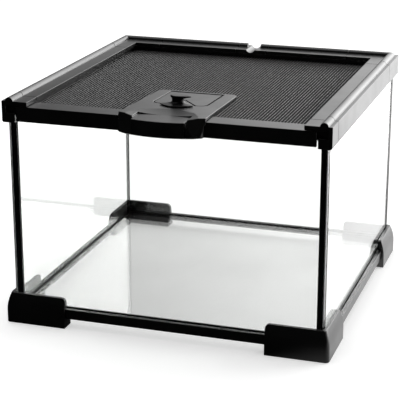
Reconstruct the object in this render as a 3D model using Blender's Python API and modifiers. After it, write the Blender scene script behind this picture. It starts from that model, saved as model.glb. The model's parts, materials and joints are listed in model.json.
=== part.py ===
"""Glass mini terrarium: a glass box in black rails, with a mesh lid that slides out to the front.

The lid carries a handle plate with a small hinged feeding hatch and a turning knob that locks it.
Metres, +Z up, the front towards -Y. The origin is on the ground, under the middle of the whole object.
Below, an "out" value is a distance outwards from the outer face of the glass, and inwards where negative.
"""

import math

import bmesh
import bpy
from mathutils import Matrix, Vector

# Glass box, outside sizes
TANK_WIDTH = 0.2000
TANK_DEPTH = 0.2000
PANE = 0.0040
PANE_HEIGHT = 0.1273
FLOOR_PANE = 0.0040

# Clearances between pieces that seat on each other, and between the glass and the rails round it
SEAT_GAP = 0.0003
GLASS_FIT = 0.0003

# Silicone in the corners and round the floor
BOND = 0.0015
FRONT_FILLET = 0.0008
REAR_FILLET = 0.0005
FLOOR_BOND = 0.0007

# Base rails
RAIL_BOTTOM = 0.0061
RAIL_HEIGHT = 0.0063
RAIL_WEB = 0.0017
RAIL_OVERHANG = 0.0030
RAIL_TUCK = 0.0060

# Corner feet
FOOT_HEIGHT = 0.0195
FOOT_OVERHANG = 0.0050
FOOT_ARM = 0.0400
FOOT_TUCK = 0.0050
FOOT_SHOULDER = 0.0080
FOOT_LEAN = 0.0024
FOOT_CORNER_RADIUS = 0.0025
FOOT_END_RADIUS = 0.0025

# Top frame section
FRAME_OVERHANG = 0.0030
FRAME_REACH = 0.0137
FRAME_PLATE = 0.0027
SKIRT_DEPTH = 0.0134
SKIRT_ROUND = 0.0012
LEDGE = 0.0015
LEDGE_REACH = 0.0100
GRIP_WALL = 0.0019
BEAD_WIDTH = 0.0051
BEAD_HEIGHT = 0.0024
BEAD_INSET = 0.0020
FRAME_CORNER_RADIUS = 0.0015

# Lengths of the frame's corner pieces, and the cable inlet in the back rail
FRONT_CORNER_LENGTH = 0.0150
REAR_CORNER_ARM = 0.0345
FRONT_LEG_WIDTH = 0.0085
INLET_WIDTH = 0.0216
INLET_NOTCH = 0.0095
INLET_GROOVE_RADIUS = 0.0034
INLET_FLOOR = 0.0007

# Sliding lid
LID_BAR_HEIGHT = 0.0040
LID_RUNNER_WIDTH = 0.0119
LID_SIDE_CLEARANCE = 0.0004
LID_BACK_CLEARANCE = 0.0006
LID_RISE_CLEARANCE = 0.0003
LID_BACK_BAR_WIDTH = 0.0117
LID_FRONT_BAR_WIDTH = 0.0140
FASCIA = 0.0024
FASCIA_BOTTOM_DROP = 0.0054
FASCIA_END_GAP = 0.0010
MESH = 0.0008
MESH_RISE = 0.0009

# Handle plate on the lid
HANDLE_LENGTH = 0.0720
HANDLE_BACK_HALF_WIDTH = 0.0260
HANDLE_FRONT_HALF_WIDTH = 0.0272
HANDLE_BACK_RADIUS = 0.0046
HANDLE_BACK_THICKNESS = 0.0015
HANDLE_SLOPE = math.radians(2.04)
COLLAR_HALF_WIDTH = 0.0210
COLLAR_EDGE = 0.0030
NOSE_REACH = 0.0093
NOSE_HALF_WIDTH = 0.0266
NOSE_SIDE_REACH = 0.0035
NOSE_CORNER_RADIUS = 0.0025
NOSE_DEPTH = 0.0114
SHOULDER_REACH = 0.0026
SHOULDER_LIP = 0.0003
SHOULDER_SPLAY = 0.375
SHELF_HALF_WIDTH = 0.0170
SHELF_SETBACK = 0.0067
SHELF_RISE = 0.0023
SHELF_UNDERCUT = 0.0004
SCOOP_HALF_WIDTH = 0.0254
SCOOP_HALF_LENGTH = 0.0243
SCOOP_HALF_HEIGHT = 0.0030
SCOOP_BACK = 0.0010
SCOOP_RISE = 0.0001

# Feeding hatch in the handle plate
HATCH_HALF_WIDTH = 0.0172
HATCH_LENGTH = 0.0357
HATCH_THICKNESS = 0.0018
HATCH_SETBACK = 0.0043
HATCH_LOBE_RADIUS = 0.0050
HATCH_FIT = 0.0005
NOTCH_HALF_WIDTH = 0.0107
NOTCH_DEPTH = 0.0136
HINGE_DEPTH = 0.0013
BARREL_RADIUS = 0.0011
PIN_RADIUS = 0.0005
PIN_CLEARANCE = 0.0001
PIN_END_LENGTH = 0.0022
PORT_HALF_WIDTH = 0.0145
PORT_BACK = 0.0032
PORT_LENGTH = 0.0191
HOOK_HALF_WIDTH = 0.0020
HOOK_THICKNESS = 0.0012
HOOK_LIP = 0.0028
HOOK_LIP_THICKNESS = 0.0007
HOOK_CLEARANCE = 0.0015

# Turning knob, its cam under the plate and the screw that holds the cam
KNOB_SETBACK = 0.0412
KNOB_HALF_WIDTH = 0.0106
KNOB_TIP_OFFSET = 0.0030
KNOB_FRONT_DEPTH = 0.0060
KNOB_REAR_DEPTH = 0.0080
KNOB_FLANGE = 0.0006
KNOB_HEIGHT = 0.0062
KNOB_NECK_RADIUS = 0.0037
KNOB_NECK_TOP = 0.0038
KNOB_CAP_RADIUS = 0.0047
KNOB_CAP_HALF_DEPTH = 0.0042
KNOB_POINTER = 0.0084
KNOB_CAP_EDGE = 0.0006
KNOB_DOME = 0.0004
SHAFT_RADIUS = 0.0024
SHAFT_CLEARANCE = 0.0002
CAM_THICKNESS = 0.0008
CAM_HALF_WIDTH = 0.0022
CAM_RADIUS = 0.0033
CAM_TIP_GAP = 0.0007
CAM_GAP = 0.0003
SCREW_RADIUS = 0.0007
SCREW_HOLE_CLEARANCE = 0.0003
SCREW_HEAD_RADIUS = 0.0019
SCREW_HEAD = 0.0009
SCREW_LENGTH = 0.0034

# How finely round shapes are cut
ROUND_STEPS = 24
SMALL_ROUND_STEPS = 12
ARC_STEPS = 5

# Planes and heights that follow from the sizes above
GLASS_X = TANK_WIDTH / 2
GLASS_Y = TANK_DEPTH / 2
INNER_X = GLASS_X - PANE
INNER_Y = GLASS_Y - PANE
RAIL_TOP = RAIL_BOTTOM + RAIL_HEIGHT
GLASS_BOTTOM = RAIL_BOTTOM + RAIL_WEB + SEAT_GAP
FLOOR_TOP = GLASS_BOTTOM + FLOOR_PANE
GLASS_TOP = GLASS_BOTTOM + PANE_HEIGHT
LEDGE_BOTTOM = GLASS_TOP + SEAT_GAP
LEDGE_TOP = LEDGE_BOTTOM + LEDGE
LID_BOTTOM = LEDGE_TOP + LID_RISE_CLEARANCE
LID_TOP = LID_BOTTOM + LID_BAR_HEIGHT
PLATE_BOTTOM = LID_TOP + LID_RISE_CLEARANCE
PLATE_TOP = PLATE_BOTTOM + FRAME_PLATE
SKIRT_BOTTOM = PLATE_TOP - SKIRT_DEPTH
FRONT_FACE = -(GLASS_Y + FRAME_OVERHANG)
FASCIA_BACK = FRONT_FACE + FASCIA
RUNNER_OUT = GLASS_FIT - LID_SIDE_CLEARANCE
RUNNER_INNER_X = GLASS_X + RUNNER_OUT - LID_RUNNER_WIDTH
LID_BACK = GLASS_Y + GLASS_FIT - LID_BACK_CLEARANCE
MESH_HALF_X = RUNNER_INNER_X - SEAT_GAP
MESH_BOTTOM = LID_BOTTOM + MESH_RISE
MESH_TOP = MESH_BOTTOM + MESH
MESH_BACK = LID_BACK - LID_BACK_BAR_WIDTH - SEAT_GAP
FRONT_BAR_BACK = FRONT_FACE + LID_FRONT_BAR_WIDTH
FRONT_CORNER_BACK = FRONT_FACE + FRONT_CORNER_LENGTH
FRONT_LEG_INNER_X = GLASS_X + FRAME_OVERHANG - FRONT_LEG_WIDTH
REAR_ARM_X = GLASS_X + FRAME_OVERHANG - REAR_CORNER_ARM
REAR_ARM_Y = GLASS_Y + FRAME_OVERHANG - REAR_CORNER_ARM
HANDLE_BACK = FRONT_FACE + HANDLE_LENGTH
HANDLE_BOTTOM = MESH_TOP + SEAT_GAP
HANDLE_BACK_TOP = HANDLE_BOTTOM + HANDLE_BACK_THICKNESS
NOSE_FRONT = FRONT_FACE - NOSE_REACH
FOOT_OUTER_Y = GLASS_Y + FOOT_OVERHANG
MIDDLE_SHIFT = -(FOOT_OUTER_Y + NOSE_FRONT) / 2
CUT = 0.0100


def clear_scene():
    for thing in list(bpy.data.objects):
        bpy.data.objects.remove(thing, do_unlink=True)


def make_collection(name, for_cutters=False):
    collection = bpy.data.collections.new(name)
    collection.hide_render = for_cutters
    bpy.context.scene.collection.children.link(collection)
    return collection


def make_material(name, colour, roughness, metallic=0.0, transmission=0.0):
    material = bpy.data.materials.new(name)
    material.use_nodes = True
    shader = material.node_tree.nodes["Principled BSDF"]
    shader.inputs["Base Color"].default_value = (*colour, 1.0)
    shader.inputs["Roughness"].default_value = roughness
    shader.inputs["Metallic"].default_value = metallic
    shader.inputs["Transmission Weight"].default_value = transmission
    material.diffuse_color = (*colour, 1.0)
    return material


def make_empty(name, location, parent=None, rotation=(0, 0, 0)):
    empty = bpy.data.objects.new(name, None)
    empty.location = location
    empty.rotation_euler = rotation
    empty.parent = parent
    empty.empty_display_size = 0.01
    parts.objects.link(empty)
    return empty


def add_object(name, bm, parent, material=None, smooth=False):
    """Turns a bmesh into a part, or into a cutter where it has no material."""
    bmesh.ops.recalc_face_normals(bm, faces=bm.faces)
    mesh = bpy.data.meshes.new(name)
    bm.to_mesh(mesh)
    bm.free()
    thing = bpy.data.objects.new(name, mesh)
    thing.parent = parent
    if material:
        mesh.materials.append(material)
        parts.objects.link(thing)
        if smooth:
            mesh.shade_smooth()
            mesh.set_sharp_from_angle(angle=math.radians(35))
    else:
        thing.hide_render = True
        thing.display_type = "WIRE"
        cutters.objects.link(thing)
    return thing


def boolean(thing, operation, *others):
    for other in others:
        modifier = thing.modifiers.new(f"{operation.lower()}_{other.name}", "BOOLEAN")
        modifier.operation = operation
        modifier.solver = "EXACT"
        modifier.object = other


def cut(thing, *others):
    boolean(thing, "DIFFERENCE", *others)


def join(thing, *others):
    boolean(thing, "UNION", *others)


def prism_mesh(outline, axis, low, high):
    """An outline pushed along an axis: (x, y) along Z, (x, z) along Y or (y, z) along X."""
    places = {
        "X": lambda a, b: (low, a, b),
        "Y": lambda a, b: (a, low, b),
        "Z": lambda a, b: (a, b, low),
    }
    bm = bmesh.new()
    face = bm.faces.new([bm.verts.new(places[axis](a, b)) for a, b in outline])
    made = bmesh.ops.extrude_face_region(bm, geom=[face])
    moved = [item for item in made["geom"] if isinstance(item, bmesh.types.BMVert)]
    step = Vector([high - low if letter == axis else 0 for letter in "XYZ"])
    bmesh.ops.translate(bm, verts=moved, vec=step)
    return bm


def box_mesh(low, high):
    bm = bmesh.new()
    bmesh.ops.create_cube(bm, size=1.0)
    low, high = Vector(low), Vector(high)
    bmesh.ops.scale(bm, verts=bm.verts, vec=high - low)
    bmesh.ops.translate(bm, verts=bm.verts, vec=(low + high) / 2)
    return bm


def cylinder_mesh(radius, low, high, steps=ROUND_STEPS, centre=(0, 0)):
    bm = bmesh.new()
    bmesh.ops.create_cone(
        bm, cap_ends=True, segments=steps, radius1=radius, radius2=radius, depth=high - low
    )
    bmesh.ops.translate(bm, verts=bm.verts, vec=(centre[0], centre[1], (low + high) / 2))
    return bm


def arc(centre, radius, start, end, steps=ARC_STEPS, squash=1.0):
    """Points on an arc, with angles in degrees and the second coordinate squashed."""
    points = []
    for step in range(steps + 1):
        angle = math.radians(start + (end - start) * step / steps)
        points.append((centre[0] + radius * math.cos(angle), centre[1] + squash * radius * math.sin(angle)))
    return points


def mirrored(right_half):
    """A whole outline from its right half, which runs from the middle line round to the middle line."""
    left_half = [(-x, y) for x, y in reversed(right_half) if abs(x) > 1e-7]
    return right_half + left_half


def bevel_edges(bm, test, width, segments):
    edges = [edge for edge in bm.edges if all(test(vert.co) for vert in edge.verts)]
    bmesh.ops.bevel(bm, geom=edges, offset=width, segments=segments, affect="EDGES", profile=0.5)


def corner_mesh(section, side_x, side_y, end_x, end_y):
    """A section of (out, z) points swept round one corner of the tank, mitred at the corner."""
    bm = bmesh.new()
    start = [bm.verts.new((side_x * end_x, side_y * (GLASS_Y + out), z)) for out, z in section]
    face = bm.faces.new(start)
    for turned in (False, True):
        made = bmesh.ops.extrude_face_region(bm, geom=[face])
        for vert in (item for item in made["geom"] if isinstance(item, bmesh.types.BMVert)):
            if turned:
                vert.co.y = side_y * end_y
            else:
                vert.co.x = side_x * (GLASS_X + abs(vert.co.y) - GLASS_Y)
        if turned:
            bmesh.ops.delete(bm, geom=[face], context="FACES_ONLY")
        face = next(item for item in made["geom"] if isinstance(item, bmesh.types.BMFace))
    return bm


def close(a, b):
    return abs(a - b) < 1e-6


SIDES = {"left": -1, "right": 1}
ENDS = {"front": -1, "back": 1}


# Glass box: four panes and the floor, standing on the base rails


def build_glass():
    for end, sign in ENDS.items():
        low, high = sorted((sign * GLASS_Y, sign * INNER_Y))
        bm = box_mesh((-GLASS_X, low, GLASS_BOTTOM), (GLASS_X, high, GLASS_TOP))
        add_object(f"{end}_glass", bm, tank, glass)
    side_end = INNER_Y - BOND - 2 * SEAT_GAP
    for side, sign in SIDES.items():
        low, high = sorted((sign * GLASS_X, sign * INNER_X))
        bm = box_mesh((low, -side_end, GLASS_BOTTOM), (high, side_end, GLASS_TOP))
        add_object(f"{side}_glass", bm, tank, glass)
    floor_x = INNER_X - FLOOR_BOND - 2 * SEAT_GAP
    floor_y = INNER_Y - FLOOR_BOND - 2 * SEAT_GAP
    bm = box_mesh((-floor_x, -floor_y, GLASS_BOTTOM), (floor_x, floor_y, FLOOR_TOP))
    add_object("floor_glass", bm, tank, floor_glass)


# Silicone: a bead in each upright corner, and a strip between each side of the floor and its pane


def build_silicone():
    bead_x = INNER_X - SEAT_GAP
    bead_y = INNER_Y - SEAT_GAP
    for end, end_sign in ENDS.items():
        fillet = FRONT_FILLET if end == "front" else REAR_FILLET
        outline = [
            (GLASS_X - SEAT_GAP, bead_y),
            (GLASS_X - SEAT_GAP, bead_y - BOND),
            (bead_x, bead_y - BOND),
        ]
        fillet_depth = BOND + fillet
        outline += arc((bead_x - fillet, bead_y - fillet_depth), fillet, 0, 90)[:-1]
        outline.append((bead_x - fillet, bead_y))
        for side, side_sign in SIDES.items():
            corner = [(side_sign * x, end_sign * y) for x, y in outline]
            bm = prism_mesh(corner, "Z", FLOOR_TOP + SEAT_GAP, SKIRT_BOTTOM - SEAT_GAP)
            add_object(f"seam_{end}_{side}", bm, tank, silicone, smooth=True)
        low, high = sorted((end_sign * bead_y, end_sign * (bead_y - FLOOR_BOND)))
        bm = box_mesh((-bead_x, low, GLASS_BOTTOM), (bead_x, high, FLOOR_TOP))
        add_object(f"floor_seal_{end}", bm, tank, silicone)
    side_length = bead_y - FLOOR_BOND - SEAT_GAP
    for side, sign in SIDES.items():
        low, high = sorted((sign * bead_x, sign * (bead_x - FLOOR_BOND)))
        bm = box_mesh((low, -side_length, GLASS_BOTTOM), (high, side_length, FLOOR_TOP))
        add_object(f"floor_seal_{side}", bm, tank, silicone)


# Base: an angle rail under each side of the glass, and a foot clipped over each corner


def rail_section():
    web_top = RAIL_BOTTOM + RAIL_WEB
    return [
        (-RAIL_TUCK, RAIL_BOTTOM),
        (RAIL_OVERHANG, RAIL_BOTTOM),
        (RAIL_OVERHANG, RAIL_TOP),
        (GLASS_FIT, RAIL_TOP),
        (GLASS_FIT, web_top),
        (-RAIL_TUCK, web_top),
    ]


def build_rails():
    full_x = GLASS_X + RAIL_OVERHANG
    short_y = GLASS_Y - RAIL_TUCK - SEAT_GAP
    for end, sign in ENDS.items():
        section = [(sign * (GLASS_Y + out), z) for out, z in rail_section()]
        add_object(f"base_rail_{end}", prism_mesh(section, "X", -full_x, full_x), tank, satin_black)
    for side, sign in SIDES.items():
        section = [(sign * (GLASS_X + out), z) for out, z in rail_section()]
        add_object(f"base_rail_{side}", prism_mesh(section, "Y", -short_y, short_y), tank, satin_black)


def foot_outer(z):
    """How far out the foot's outer face stands at a height: upright, then leaning in to the glass."""
    share = max(0.0, z - FOOT_SHOULDER) / (FOOT_HEIGHT - FOOT_SHOULDER)
    return FOOT_OVERHANG - FOOT_LEAN * share**2


def foot_section():
    """Thick under the rail, thin beside it, and close to the glass above it."""
    section = [(-FOOT_TUCK, 0), (FOOT_OVERHANG, 0)]
    for step in range(ARC_STEPS + 1):
        z = FOOT_SHOULDER + (FOOT_HEIGHT - FOOT_SHOULDER) * step / ARC_STEPS
        section.append((foot_outer(z), z))
    rail_out = RAIL_OVERHANG + SEAT_GAP
    rail_over = RAIL_TOP + SEAT_GAP
    rail_under = RAIL_BOTTOM - SEAT_GAP
    section += [(GLASS_FIT, FOOT_HEIGHT), (GLASS_FIT, rail_over), (rail_out, rail_over)]
    section += [(rail_out, rail_under), (-FOOT_TUCK, rail_under)]
    return section


def build_feet():
    end_x = GLASS_X + FOOT_OVERHANG - FOOT_ARM
    end_y = GLASS_Y + FOOT_OVERHANG - FOOT_ARM

    def on_outer_corner(co):
        out = foot_outer(co.z)
        return close(abs(co.x), GLASS_X + out) and close(abs(co.y), GLASS_Y + out)

    def on_arm_end_top(co):
        return close(co.z, FOOT_HEIGHT) and (close(abs(co.x), end_x) or close(abs(co.y), end_y))

    for end, end_sign in ENDS.items():
        for side, side_sign in SIDES.items():
            bm = corner_mesh(foot_section(), side_sign, end_sign, end_x, end_y)
            bevel_edges(bm, on_outer_corner, FOOT_CORNER_RADIUS, 3)
            bevel_edges(bm, on_arm_end_top, FOOT_END_RADIUS, 3)
            add_object(f"foot_{end}_{side}", bm, tank, satin_black, smooth=True)


# Top frame: a folded section that holds the glass below, and makes a channel for the lid above it


def frame_section():
    bead = arc((-BEAD_INSET, PLATE_TOP), BEAD_WIDTH / 2, 0, 180, 8, 2 * BEAD_HEIGHT / BEAD_WIDTH)
    glass_inner = -(PANE + GLASS_FIT)
    skirt_inner = GLASS_FIT
    foot = arc((FRAME_OVERHANG - SKIRT_ROUND, SKIRT_BOTTOM + SKIRT_ROUND), SKIRT_ROUND, -90, 0, 3)
    return [
        (skirt_inner, SKIRT_BOTTOM),
        *foot,
        (FRAME_OVERHANG, PLATE_TOP),
        *bead,
        (-FRAME_REACH, PLATE_TOP),
        (-FRAME_REACH, PLATE_BOTTOM),
        (skirt_inner, PLATE_BOTTOM),
        (skirt_inner, LEDGE_TOP),
        (-LEDGE_REACH, LEDGE_TOP),
        (-LEDGE_REACH, LEDGE_BOTTOM),
        (glass_inner - GRIP_WALL, LEDGE_BOTTOM),
        (glass_inner - GRIP_WALL, SKIRT_BOTTOM),
        (glass_inner, SKIRT_BOTTOM),
        (glass_inner, LEDGE_BOTTOM),
        (skirt_inner, LEDGE_BOTTOM),
    ]


def build_frame_rails():
    for side, sign in SIDES.items():
        section = [(sign * (GLASS_X + out), z) for out, z in frame_section()]
        bm = prism_mesh(section, "Y", FRONT_CORNER_BACK + SEAT_GAP, REAR_ARM_Y - SEAT_GAP)
        add_object(f"top_rail_{side}", bm, tank, satin_black, smooth=True)
        section = [(GLASS_Y + out, z) for out, z in frame_section()]
        ends = sorted((sign * (INLET_WIDTH / 2 + SEAT_GAP), sign * (REAR_ARM_X - SEAT_GAP)))
        bm = prism_mesh(section, "X", *ends)
        add_object(f"top_rail_back_{side}", bm, tank, satin_black, smooth=True)


def build_frame_corners():
    def on_outer_corner(co):
        out_x, out_y = abs(co.x) - GLASS_X, abs(co.y) - GLASS_Y
        return close(out_x, FRAME_OVERHANG) and close(out_y, FRAME_OVERHANG)

    for side, sign in SIDES.items():
        bm = corner_mesh(frame_section(), sign, 1, REAR_ARM_X, REAR_ARM_Y)
        bevel_edges(bm, on_outer_corner, FRAME_CORNER_RADIUS, 3)
        add_object(f"top_corner_back_{side}", bm, tank, satin_black, smooth=True)

        section = [(sign * (GLASS_X + out), z) for out, z in frame_section()]
        bm = prism_mesh(section, "Y", FRONT_FACE, FRONT_CORNER_BACK)
        corner = add_object(f"top_corner_front_{side}", bm, tank, satin_black, smooth=True)
        leg_back = -(GLASS_Y + GLASS_FIT)
        seam_clear = INNER_Y - 2 * SEAT_GAP - BOND - FRONT_FILLET - SEAT_GAP
        reach = GLASS_X - FRAME_REACH - CUT
        low, high = sorted((sign * reach, sign * (GLASS_X + GLASS_FIT)))
        pane_room = add_object(
            f"pane_room_{side}",
            box_mesh((low, leg_back, SKIRT_BOTTOM - CUT), (high, -seam_clear, LEDGE_BOTTOM)),
            tank,
        )
        low, high = sorted((sign * reach, sign * FRONT_LEG_INNER_X))
        fascia_room = add_object(
            f"fascia_room_{side}",
            box_mesh((low, FRONT_FACE - CUT, SKIRT_BOTTOM - CUT), (high, leg_back, PLATE_BOTTOM)),
            tank,
        )
        inside_skirt = GLASS_X + (GLASS_FIT + FRAME_OVERHANG) / 2
        low, high = sorted((sign * FRONT_LEG_INNER_X, sign * inside_skirt))
        leg = add_object(
            f"leg_{side}",
            box_mesh((low, FRONT_FACE, SKIRT_BOTTOM), (high, leg_back, LEDGE_TOP)),
            tank,
        )
        cut(corner, pane_room, fascia_room)
        join(corner, leg)


def build_cable_inlet():
    half = INLET_WIDTH / 2
    section = [(GLASS_Y + out, z) for out, z in frame_section()]
    inlet = add_object("cable_inlet", prism_mesh(section, "X", -half, half), tank, satin_black, smooth=True)
    inner = GLASS_Y - FRAME_REACH
    outer = GLASS_Y + FRAME_OVERHANG
    notch = add_object(
        "inlet_notch",
        box_mesh(
            (-INLET_NOTCH / 2, GLASS_Y - BEAD_INSET - BEAD_WIDTH, PLATE_TOP),
            (INLET_NOTCH / 2, outer + CUT, PLATE_TOP + BEAD_HEIGHT + CUT),
        ),
        tank,
    )
    groove_z = PLATE_BOTTOM + INLET_FLOOR + INLET_GROOVE_RADIUS
    bm = cylinder_mesh(INLET_GROOVE_RADIUS, inner - CUT, outer + CUT)
    turn = Matrix.Rotation(math.radians(-90), 4, "X")
    bmesh.ops.transform(bm, matrix=Matrix.Translation((0, 0, groove_z)) @ turn, verts=bm.verts)
    groove = add_object("inlet_groove", bm, tank)
    cut(inlet, notch, groove)


# Lid: front bar with its fascia, two runners, a back bar and the mesh between them


def build_lid_frame():
    fascia_x = FRONT_LEG_INNER_X - FASCIA_END_GAP
    bm = box_mesh((-MESH_HALF_X, FRONT_FACE, LID_BOTTOM), (MESH_HALF_X, FRONT_BAR_BACK, LID_TOP))
    front_bar = add_object("lid_front_bar", bm, lid, satin_black)
    fascia_bottom = LID_BOTTOM - FASCIA_BOTTOM_DROP
    fascia = add_object(
        "fascia", box_mesh((-fascia_x, FRONT_FACE, fascia_bottom), (fascia_x, FASCIA_BACK, LID_TOP)), lid
    )
    recess_x = HANDLE_FRONT_HALF_WIDTH + SEAT_GAP
    handle_recess = add_object(
        "handle_recess",
        box_mesh((-recess_x, FRONT_FACE - CUT, MESH_TOP), (recess_x, FRONT_BAR_BACK + CUT, LID_TOP + CUT)),
        lid,
    )
    join(front_bar, fascia)
    cut(front_bar, handle_recess)

    runner_outer = GLASS_X + RUNNER_OUT
    for side, sign in SIDES.items():
        low, high = sorted((sign * RUNNER_INNER_X, sign * runner_outer))
        bm = box_mesh((low, FASCIA_BACK + SEAT_GAP, LID_BOTTOM), (high, LID_BACK, LID_TOP))
        add_object(f"lid_runner_{side}", bm, lid, satin_black)
    bar_front = LID_BACK - LID_BACK_BAR_WIDTH
    bm = box_mesh((-MESH_HALF_X, bar_front, LID_BOTTOM), (MESH_HALF_X, LID_BACK, LID_TOP))
    add_object("lid_back_bar", bm, lid, satin_black)


def build_mesh_screen():
    mesh_front = FRONT_BAR_BACK + SEAT_GAP
    bm = box_mesh((-MESH_HALF_X, mesh_front, MESH_BOTTOM), (MESH_HALF_X, MESH_BACK, MESH_TOP))
    screen = add_object("mesh_screen", bm, lid, mesh_grey)
    half = COLLAR_HALF_WIDTH + SEAT_GAP
    window = add_object(
        "mesh_window",
        box_mesh(
            (-half, mesh_front + COLLAR_EDGE, MESH_BOTTOM - CUT),
            (half, HANDLE_BACK - COLLAR_EDGE + SEAT_GAP, MESH_TOP + CUT),
        ),
        lid,
    )
    cut(screen, window)


# Handle plate: a sloping plate with a rounded nose in front, a finger scoop and the hatch's seat


def handle_top(y):
    return HANDLE_BACK_TOP + math.tan(HANDLE_SLOPE) * (HANDLE_BACK - y)


def nose_arc(half_width, steps=10):
    """The nose's curved front, from half_width on the right to the same on the left."""
    rise = NOSE_REACH - NOSE_SIDE_REACH
    radius = (NOSE_HALF_WIDTH**2 + rise**2) / (2 * rise)
    reach = math.degrees(math.asin(half_width / radius))
    return arc((0, NOSE_FRONT + radius), radius, -90 + reach, -90 - reach, steps)


def nose_side_front():
    """Where the nose's short straight side ends and its curved front begins."""
    return FRONT_FACE - NOSE_SIDE_REACH


def sloped_prism(outline, bottom):
    """An outline raised from a flat bottom to the handle's sloping top."""
    bm = prism_mesh(outline, "Z", bottom, PLATE_TOP)
    for vert in bm.verts:
        if vert.co.z > (bottom + PLATE_TOP) / 2:
            vert.co.z = handle_top(vert.co.y)
    return bm


def handle_outline():
    """The handle and its nose seen from above."""
    back_corner = (HANDLE_BACK_HALF_WIDTH - HANDLE_BACK_RADIUS, HANDLE_BACK - HANDLE_BACK_RADIUS)
    nose_corner = (NOSE_HALF_WIDTH - NOSE_CORNER_RADIUS, nose_side_front() + NOSE_CORNER_RADIUS)
    right = [(0, HANDLE_BACK), *arc(back_corner, HANDLE_BACK_RADIUS, 90, 0)]
    right += [(HANDLE_FRONT_HALF_WIDTH, FRONT_FACE), (NOSE_HALF_WIDTH, FRONT_FACE - SEAT_GAP)]
    right += arc(nose_corner, NOSE_CORNER_RADIUS, 0, -70, 3)
    right += [point for point in nose_arc(NOSE_HALF_WIDTH) if 1e-7 < point[0] < nose_corner[0]]
    right.append((0, NOSE_FRONT))
    return mirrored(right)


def build_handle():
    nose_bottom = handle_top(FRONT_FACE) - NOSE_DEPTH
    handle = add_object(
        "handle_plate", sloped_prism(handle_outline(), nose_bottom), lid, satin_black, smooth=True
    )
    wide = HANDLE_FRONT_HALF_WIDTH + CUT
    behind_nose = box_mesh(
        (-wide, FRONT_FACE - SEAT_GAP, nose_bottom - CUT), (wide, HANDLE_BACK + CUT, HANDLE_BOTTOM)
    )
    cut(handle, add_object("behind_nose", behind_nose, lid))

    collar_front = FRONT_BAR_BACK + SEAT_GAP + COLLAR_EDGE + SEAT_GAP
    collar_back = HANDLE_BACK - COLLAR_EDGE
    collar_top = HANDLE_BOTTOM + HANDLE_BACK_THICKNESS / 2
    step_y = hatch_port_front() + HATCH_FIT + SEAT_GAP
    deep_collar = add_object(
        "deep_collar",
        box_mesh((-COLLAR_HALF_WIDTH, step_y, LID_BOTTOM), (COLLAR_HALF_WIDTH, collar_back, collar_top)),
        lid,
    )
    inset = COLLAR_HALF_WIDTH - SEAT_GAP
    shallow_collar = add_object(
        "shallow_collar",
        box_mesh(
            (-inset, collar_front, collar_bottom()),
            (inset, step_y + HATCH_FIT, collar_top - SEAT_GAP),
        ),
        lid,
    )
    join(handle, deep_collar, shallow_collar)

    shoulder_y = FRONT_FACE - SHOULDER_REACH
    shoulder_top = handle_top(shoulder_y)
    lip_y = nose_arc(SHELF_HALF_WIDTH)[0][1] - SHOULDER_LIP
    steepness = (shoulder_y - lip_y) / (shoulder_top - nose_bottom)
    slope = [
        (shoulder_y + steepness * CUT, shoulder_top + CUT),
        (NOSE_FRONT - CUT, shoulder_top + CUT),
        (NOSE_FRONT - CUT, nose_bottom - CUT),
        (lip_y - steepness * CUT, nose_bottom - CUT),
    ]
    for side, sign in SIDES.items():
        bm = prism_mesh(slope, "X", *sorted((sign * (SHELF_HALF_WIDTH - SHELF_UNDERCUT), sign * wide)))
        for vert in bm.verts:
            vert.co.y += SHOULDER_SPLAY * (abs(vert.co.x) - SHELF_HALF_WIDTH)
        cut(handle, add_object(f"shoulder_slope_{side}", bm, lid))

    shelf_top = HANDLE_BOTTOM + SHELF_RISE
    shelf_room = add_object(
        "shelf_room",
        box_mesh(
            (-SHELF_HALF_WIDTH, NOSE_FRONT - CUT, shelf_top),
            (SHELF_HALF_WIDTH, FRONT_FACE + SHELF_SETBACK, PLATE_TOP + CUT),
        ),
        lid,
    )
    bm = bmesh.new()
    bmesh.ops.create_uvsphere(bm, u_segments=2 * ROUND_STEPS, v_segments=ROUND_STEPS, radius=1.0)
    bmesh.ops.scale(bm, verts=bm.verts, vec=(SCOOP_HALF_WIDTH, SCOOP_HALF_LENGTH, SCOOP_HALF_HEIGHT))
    scoop_centre = (0, FRONT_FACE + SCOOP_BACK, shelf_top + SCOOP_RISE + SCOOP_HALF_HEIGHT)
    bmesh.ops.translate(bm, verts=bm.verts, vec=scoop_centre)
    scoop = add_object("scoop", bm, lid)
    cut(handle, shelf_room, scoop, *hatch_cutters())


# Feeding hatch. Its pieces lie in the handle's sloping plane: y runs back from the hinge axis,
# and z is 0 on the plate's top surface


def hinge_y():
    return HANDLE_BACK - HATCH_SETBACK


def hatch_port_front():
    """The port's front edge, where the lid's own y is measured."""
    return hinge_y() - (PORT_BACK + PORT_LENGTH) * math.cos(HANDLE_SLOPE)


def hatch_outline(fit=0.0):
    half = HATCH_HALF_WIDTH + fit
    radius = HATCH_LOBE_RADIUS + fit
    front = -(HATCH_LENGTH + fit)
    notch_half = NOTCH_HALF_WIDTH - fit
    notch_tip = -(HATCH_LENGTH - NOTCH_DEPTH + fit)
    right = [(half, 0), *arc((half - radius, front + radius), radius, 0, -90)]
    right += [(notch_half, front), (0, notch_tip)]
    left = [(-x, y) for x, y in reversed(right[:-1])]
    return right + left


def across_cylinder(radius, half_length, z, steps=SMALL_ROUND_STEPS):
    bm = cylinder_mesh(radius, -half_length, half_length, steps)
    turn = Matrix.Rotation(math.radians(90), 4, "Y")
    bmesh.ops.transform(bm, matrix=Matrix.Translation((0, 0, z)) @ turn, verts=bm.verts)
    return bm


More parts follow.
